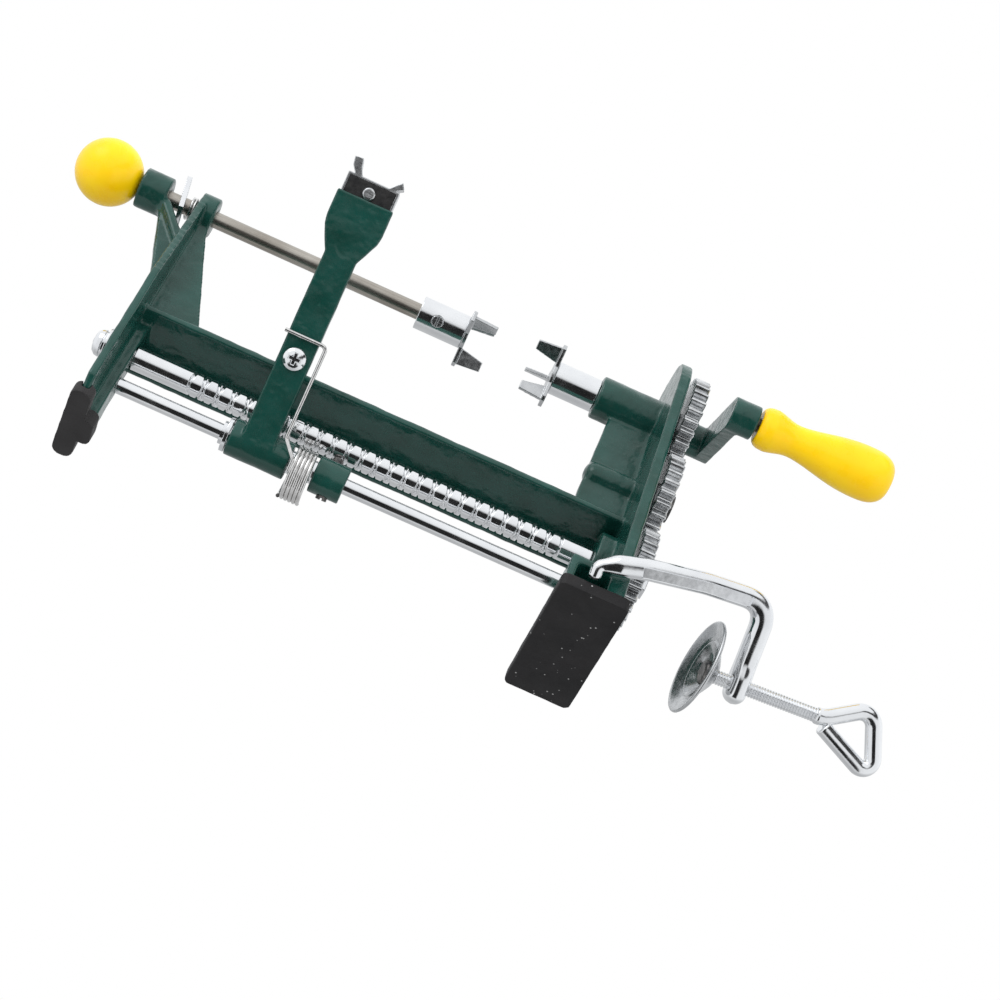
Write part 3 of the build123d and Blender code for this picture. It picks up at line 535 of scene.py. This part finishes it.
def finish_cad_nodes():
    """Every CAD node gets its procedural material."""
    for name, node in NODES.items():
        node.data.materials.clear()
        node.data.materials.append(material_of(name))


# ---- pieces that stand for CAD nodes ----

def place(piece, node):
    """The piece stands for that CAD node: same body, same slot, a procedural material."""
    piece.data.materials.clear()
    piece.data.materials.append(material_of(node))
    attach(piece, BODY_OF[node])
    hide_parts(node)


def new_piece(name, mesh):
    """Object for a mesh, linked into the scene."""
    piece = bpy.data.objects.new(name, mesh)
    bpy.context.scene.collection.objects.link(piece)
    return piece


MERGE_DISTANCE = 2e-6
NOSE_SEGMENTS = 40
NOSE_RINGS = 20
SMOOTH_SHARE = 0.5
LUMP_SCALE = 110  # lumps per metre, roughly
FINE_LUMP_SCALE = 260
FINE_LUMP_SHARE = 0.5


def skin_height(point):
    """Height of the uneven cast skin at a point, about -1 to 1."""
    point = Vector(point)
    return noise.noise(point * LUMP_SCALE) + FINE_LUMP_SHARE * noise.noise(point * FINE_LUMP_SCALE)


def rounded_copy(node, name, voxel, rounds, lump=0.0, extra=(), swell=0.0):
    """Copy of a CAD node with softened edges and inner corners, standing for that node.

    voxel is the remesh size, rounds the number of smoothing rounds, lump the height of the uneven skin,
    swell the growth all round, and extra holds (centre, half sizes) of noses that melt into the casting.
    """
    mesh = NODES[node].data.copy()
    work = bmesh.new()
    work.from_mesh(mesh)
    bmesh.ops.remove_doubles(work, verts=work.verts, dist=MERGE_DISTANCE)
    for centre, half_sizes in extra:
        stretch = Matrix.Translation(centre) @ Matrix.Diagonal((*half_sizes, 1))
        bmesh.ops.create_uvsphere(work, u_segments=NOSE_SEGMENTS, v_segments=NOSE_RINGS, radius=1,
                                  matrix=stretch)
    work.to_mesh(mesh)
    work.free()
    piece = new_piece(name + "_source", mesh)
    remesh = piece.modifiers.new("remesh", "REMESH")
    remesh.mode = "VOXEL"
    remesh.voxel_size = voxel
    remesh.use_smooth_shade = True
    smooth = piece.modifiers.new("smooth", "SMOOTH")
    smooth.factor = SMOOTH_SHARE
    smooth.iterations = rounds
    graph = bpy.context.evaluated_depsgraph_get()
    result = bpy.data.meshes.new_from_object(piece.evaluated_get(graph))
    bpy.data.objects.remove(piece)
    if lump or swell:
        count = len(result.vertices)
        co = np.empty(count * 3)
        result.vertices.foreach_get("co", co)
        co = co.reshape(-1, 3)
        normals = np.empty(count * 3)
        result.vertices.foreach_get("normal", normals)
        height = np.array([skin_height(p) for p in co])
        co += normals.reshape(-1, 3) * (height * lump + swell)[:, None]
        result.vertices.foreach_set("co", co.ravel())
    result.polygons.foreach_set("use_smooth", [True] * len(result.polygons))
    finished = new_piece(name, result)
    finished.data.update()
    place(finished, node)


def smooth_mesh(name, vertices, faces):
    """Mesh with every face shaded smooth."""
    mesh = bpy.data.meshes.new(name)
    mesh.from_pydata(vertices, [], faces)
    mesh.polygons.foreach_set("use_smooth", [True] * len(mesh.polygons))
    mesh.update()
    return mesh


def tube_quads(rings, around):
    """Faces of an open tube of rings, each ring with the same number of points."""
    faces = []
    for i in range(rings - 1):
        for j in range(around):
            k = (j + 1) % around
            faces.append((i * around + j, i * around + k, (i + 1) * around + k, (i + 1) * around + j))
    return faces


def turned_mesh(name, start, axis, length, radius_at, along, around):
    """Closed round bar of along rings with around points each, whose radius radius_at gives."""
    axis = Vector(axis).normalized()
    side = axis.orthogonal().normalized()
    third = axis.cross(side)
    angles = np.arange(around) * 2 * np.pi / around
    s, t = np.meshgrid(np.linspace(0, length, along), angles, indexing="ij")
    r = radius_at(s, t)
    centre = np.array(start) + s[..., None] * np.array(axis)
    outward = np.cos(t)[..., None] * np.array(side) + np.sin(t)[..., None] * np.array(third)
    points = (centre + r[..., None] * outward).reshape(-1, 3)
    ends = np.array([start, np.array(start) + length * np.array(axis)])
    faces = tube_quads(along, around)
    first, last, top = len(points), len(points) + 1, (along - 1) * around
    faces += [(first, (j + 1) % around, j) for j in range(around)]
    faces += [(last, top + j, top + (j + 1) % around) for j in range(around)]
    return smooth_mesh(name, np.vstack([points, ends]).tolist(), faces)


def smooth_step(value):
    """0 below 0, 1 above 1, and a smooth rise between."""
    value = np.clip(value, 0, 1)
    return value * value * (3 - 2 * value)


def add_leadscrew():
    """Feed screw with two crossing helical grooves, and a journal at each end."""
    low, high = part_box("leadscrew")
    centre = (low + high) / 2
    radius = (high.z - low.z) / 2
    journal = 4.0 * MM
    lead = 6.8 * MM
    half_groove = 0.52 * MM
    depth = 1.0 * MM
    body = (-109.6 * MM, 107.2 * MM)
    grooved = (-83.5 * MM, 93.0 * MM)
    flank = 2.6  # where the groove's sloping side ends, in halves of half_groove
    rings = 1200
    around = 64

    def radius_at(s, t):
        x = low.x + s
        r = np.where((x > body[0]) & (x < body[1]), radius, journal)
        shape = 0
        for hand in (1, -1):
            turn = (t / (2 * np.pi) - hand * (x - grooved[0]) / lead) % 1
            shape = np.maximum(shape, smooth_step(flank - 2 * np.abs(turn - 0.5) * lead / half_groove))
        inside = (x > grooved[0]) & (x < grooved[1])
        return r - depth * shape * inside

    start = (low.x, centre.y, centre.z)
    mesh = turned_mesh("leadscrew_grooved", start, (1, 0, 0), high.x - low.x, radius_at, rings, around)
    place(new_piece("leadscrew_grooved", mesh), "leadscrew")


def add_clamp_thread():
    """Clamp screw with a rolled thread and one short plain end."""
    joint = JOINTS["clamp_screw_turn"]
    axis = Vector(joint["axis"]).normalized()
    point = Vector(joint["pos_m"])
    reach = [(v.co - point).dot(axis) for v in NODES["clamp_screw"].data.vertices]
    start, end = min(reach), max(reach)
    radius = 3.175 * MM
    depth = 0.62 * MM
    pitch = 1.27 * MM
    plain_end = 1.6 * MM
    crest = 1.25  # together with slope, the share of a turn that the ridge takes
    slope = 2.6
    rings = 520
    around = 36

    def radius_at(s, t):
        turn = (t / (2 * np.pi) - s / pitch) % 1
        ridge = smooth_step(crest - np.abs(turn - 0.5) * slope)
        plain = smooth_step((plain_end - s) / MM)
        return radius - depth * (1 - ridge) * (1 - plain)

    mesh = turned_mesh("clamp_thread", point + axis * start, axis, end - start, radius_at, rings, around)
    place(new_piece("clamp_thread", mesh), "clamp_screw")


# ---- clamp, in its own frame: x across the bar, y along the short arm, z against the long bar ----

def clamp_frame():
    """Hook centre and the three unit directions of the clamp as parked."""
    screw = JOINTS["clamp_screw_turn"]
    centre = Vector(JOINTS["clamp_swing"]["pos_m"])
    z = Vector(screw["axis"]).normalized()
    vertices = [v.co for v in NODES["clamp_screw"].data.vertices]
    to_screw = sum(vertices, Vector()) / len(vertices) - centre
    if to_screw.dot(z) > 0:
        z = -z
    y = (to_screw - z * to_screw.dot(z)).normalized()
    return centre, y.cross(z), y, z


CORNER_POINTS = 15
LONGEST_CUT = 0.49  # of a straight run, so that two corners never meet


def filleted(points, radii, step):
    """Points step apart along a polyline with rounded corners, and each one's distance from the start."""
    path = [np.array(points[0], float)]
    for before, corner, after, radius in zip(points, points[1:], points[2:], radii):
        corner = np.array(corner, float)
        u = np.array(before) - corner
        v = np.array(after) - corner
        u_length, v_length = np.linalg.norm(u), np.linalg.norm(v)
        u, v = u / u_length, v / v_length
        half = math.acos(np.clip(u @ v, -1, 1)) / 2
        cut = min(radius / math.tan(half), LONGEST_CUT * u_length, LONGEST_CUT * v_length)
        first, last = corner + u * cut, corner + v * cut
        for t in np.linspace(0, 1, CORNER_POINTS):
            path.append((1 - t) ** 2 * first + 2 * t * (1 - t) * corner + t ** 2 * last)
    path.append(np.array(points[-1], float))
    path = np.array(path)
    along = np.concatenate([[0], np.cumsum(np.linalg.norm(np.diff(path, axis=0), axis=1))])
    even = np.linspace(0, along[-1], int(along[-1] / step) + 1)
    return np.column_stack([np.interp(even, along, path[:, k]) for k in range(2)]), even


def ring_faces(rings, around):
    """Quads of a tube of rings, with one flat face at each end."""
    faces = tube_quads(rings, around)
    faces.append(tuple(range(around))[::-1])
    faces.append(tuple((rings - 1) * around + j for j in range(around)))
    return faces


# The bar's middle line from the hook to the screw's eye, as (y, z) in mm, and the radius at each bend.
BAR_POINTS = [
    (2.4, 0), (-3.4, 0), (-6.6, -8.0), (-9.5, -20.0), (-13.0, -46.0), (-14.4, -74.4), (30.4, -74.4),
]
BAR_BENDS = (3.4, 12, 20, 40, 11)
BAR_STEP = 0.5
BAR_AROUND = 72
BAR_SQUARENESS = 0.82  # 1 would be round, less is squarer

# Half sizes of the bar in mm: at the hook, what the long run adds, and what the eye adds. Then where these
# begin to grow and over what length, from the hook for the run and from the other end for the eye.
HOOK_ACROSS = 3.4
HOOK_OUT = 2.9
RUN_ACROSS = 1.75
RUN_OUT = 1.8
EYE_ACROSS = 1.3
GROW_FROM = 6.0
GROW_LENGTH = 9.0
EYE_FROM = 19
EYE_LENGTH = 9

# Rounding of the bar's two ends, in mm along it, and the smallest shares of the section left there.
HOOK_LEAD = 0.4
HOOK_ROUND = 2.2
HOOK_SHARE = 0.02  # before the square root
EYE_ROUND = 5.0
END_SHARE = 0.05

# Pressed flat on one side of the long run, in mm: its z range, where it cuts, and how far outward it goes.
FLAT_TOP = -17.5
FLAT_BOTTOM = -66.0
FLAT_ACROSS = -3.7
FLAT_REACH = 1.0
SHARP_ANGLE = 38  # degrees


def add_clamp_bar():
    """Chromed bar bent from round rod, with a pressed flat along the long run and a hooked end."""
    centre, x_dir, y_dir, z_dir = clamp_frame()
    path, along = filleted(BAR_POINTS, BAR_BENDS, BAR_STEP)
    tangent = np.gradient(path, axis=0)
    tangent /= np.linalg.norm(tangent, axis=1)[:, None]
    outward = np.column_stack([tangent[:, 1], -tangent[:, 0]])
    phi = np.arange(BAR_AROUND) * 2 * np.pi / BAR_AROUND
    c, s = np.cos(phi), np.sin(phi)
    unit_across = np.sign(c) * np.abs(c) ** BAR_SQUARENESS
    unit_out = np.sign(s) * np.abs(s) ** BAR_SQUARENESS
    total = along[-1]
    vertices = []
    for (y, z), out, d in zip(path, outward, along):
        grow = smooth_step((d - GROW_FROM) / GROW_LENGTH)
        eye = smooth_step((d - total + EYE_FROM) / EYE_LENGTH)
        end = min(1.0, max(0.0, (total - d) / EYE_ROUND))
        start = min(1.0, (d + HOOK_LEAD) / HOOK_ROUND)
        end_cap = math.sqrt(max(0.0, 1 - (1 - end) ** 2))
        start_cap = math.sqrt(max(HOOK_SHARE, 1 - (1 - start) ** 2))
        cap = max(end_cap * start_cap, END_SHARE)
        across = unit_across * (HOOK_ACROSS + RUN_ACROSS * grow + EYE_ACROSS * eye) * cap
        reach = unit_out * (HOOK_OUT + RUN_OUT * grow) * cap
        if FLAT_BOTTOM < z < FLAT_TOP and y < 0:
            across = np.where(reach < FLAT_REACH, np.maximum(across, FLAT_ACROSS), across)
        for a, r in zip(across, reach):
            vertices.append(centre + x_dir * float(a * MM) + y_dir * float((y + out[0] * r) * MM)
                            + z_dir * float((z + out[1] * r) * MM))
    mesh = smooth_mesh("clamp_bar_plated", vertices, ring_faces(len(path), BAR_AROUND))
    mesh.set_sharp_from_angle(angle=math.radians(SHARP_ANGLE))
    place(new_piece("clamp_bar_plated", mesh), "clamp_bar")


DISC_TILT = 8.4  # degrees from the screw's line
DISC_Y = 22.1 * MM
DISC_Z = 63.5 * MM
DISC_AROUND = 128

# The disc's section as (radius, height) in mm: the face from the hole to the rim, then the back again.
DISC_FACE = [
    (4.1, 1.6), (5.6, 2.0), (7.0, 2.7), (8.4, 3.5), (9.6, 4.5), (10.6, 5.3),
    (11.8, 6.3), (12.5, 6.85), (13.0, 6.95), (13.3, 6.55), (13.7, 6.55), (14.1, 6.95),
    (15.5, 7.45), (17.5, 8.1), (19.4, 8.7), (20.6, 9.05), (21.2, 9.0), (21.5, 8.6),
]
DISC_BACK = [
    (21.5, 8.0), (21.1, 7.6), (19.5, 7.3), (16.0, 6.2), (13.5, 5.2),
    (12.0, 4.2), (9.0, 2.3), (6.0, 0.6), (4.1, 0.0),
]

# Dimples pressed up in the bowl, in mm.
DIMPLES = 4
DIMPLE_HEIGHT = 0.55
DIMPLE_RADIUS = 8.2
DIMPLE_WIDTH = 1.5
DIMPLE_SHARPNESS = 3


def add_clamp_disc():
    """Pressed disc on the screw's end: rim, ring, bowl and four small dimples."""
    centre, x_dir, y_dir, z_dir = clamp_frame()
    tilt = math.radians(DISC_TILT)
    axis = z_dir * math.cos(tilt) - y_dir * math.sin(tilt)
    third = axis.cross(x_dir)
    base = centre + y_dir * DISC_Y - z_dir * DISC_Z
    profile = DISC_FACE + DISC_BACK
    vertices = []
    for j in range(DISC_AROUND):
        phi = 2 * math.pi * j / DISC_AROUND
        direction = x_dir * math.cos(phi) + third * math.sin(phi)
        for k, (r, s) in enumerate(profile):
            if k < len(DISC_FACE):
                near_ring = math.exp(-((r - DIMPLE_RADIUS) / DIMPLE_WIDTH) ** 2)
                s += DIMPLE_HEIGHT * near_ring * max(0.0, math.cos(DIMPLES * phi)) ** DIMPLE_SHARPNESS
            vertices.append(base + direction * (r * MM) + axis * (s * MM))
    n = len(profile)
    faces = []
    for j in range(DISC_AROUND):
        k = (j + 1) % DISC_AROUND
        faces += [(j * n + i, j * n + (i + 1) % n, k * n + (i + 1) % n, k * n + i) for i in range(n)]
    mesh = smooth_mesh("clamp_disc_pressed", vertices, faces)
    place(new_piece("clamp_disc_pressed", mesh), "clamp_disc")


# Rounded nose on the right plate's inner side, on the idler's line: its X and half sizes along and across.
NOSE_X = 95.2 * MM
NOSE_LENGTH = 4.2 * MM
NOSE_RADIUS = 6.1 * MM

# CAD node, name of its piece, voxel in mm, smoothing rounds, and height of the cast skin in mm.
CAST_PARTS = [
    ("frame", "frame_casting", 0.8, 4, 0.22),
    ("peeling_arm", "arm_casting", 0.5, 4, 0.16),
    ("crank_arm", "crank_casting", 0.5, 4, 0.14),
    ("carriage_collar", "collar_casting", 0.45, 3, 0.1),
    ("right_pad", "right_pad_rubber", 0.6, 4, 0.12),
    ("left_boot", "left_boot_rubber", 0.5, 5, 0.1),
]

# CAD node: voxel in mm and smoothing rounds.
SOFT_EDGES = {
    "drive_gear": (0.35, 2),
    "idler_gear": (0.35, 2),
    "leadscrew_gear": (0.35, 2),
    "driven_fork": (0.25, 2),
    "idle_fork": (0.25, 2),
    "driven_fork_hub": (0.3, 3),
    "idle_fork_hub": (0.3, 3),
    "lock_lever": (0.25, 2),
    "arm_screw": (0.14, 1),
    "idle_set_screw": (0.14, 1),
    "end_screw": (0.2, 1),
    "end_washer": (0.22, 1),
    "end_lock_washer": (0.22, 1),
    "flange_washer": (0.25, 1),
    "leadscrew_nut": (0.25, 2),
    "blade_bracket": (0.25, 2),
    "blade": (0.15, 1),
    "blade_rivet": (0.15, 1),
    "handle_grip": (0.5, 3),
    "crank_screw": (0.15, 1),
    "collar_screw": (0.15, 1),
}
CLAMP_HANDLE_SWELL = 0.5 * MM


def add_cast_parts():
    """Painted castings and rubber feet with softened edges."""
    idler_height = JOINTS["idler_turn"]["pos_m"][2]
    boss_nose = ((NOSE_X, 0, idler_height), (NOSE_LENGTH, NOSE_RADIUS, NOSE_RADIUS))
    for node, name, voxel, rounds, lump in CAST_PARTS:
        noses = (boss_nose,) if node == "frame" else ()
        rounded_copy(node, name, voxel * MM, rounds, lump * MM, noses)


def add_soft_parts():
    """Machined and stamped parts with broken edges."""
    for node, (voxel, rounds) in SOFT_EDGES.items():
        rounded_copy(node, node + "_soft", voxel * MM, rounds)
    rounded_copy("clamp_handle", "clamp_handle_soft", 0.35 * MM, 3, swell=CLAMP_HANDLE_SWELL)


make_stage()
finish_cad_nodes()
add_leadscrew()
add_clamp_thread()
add_clamp_bar()
add_clamp_disc()
add_cast_parts()
add_soft_parts()
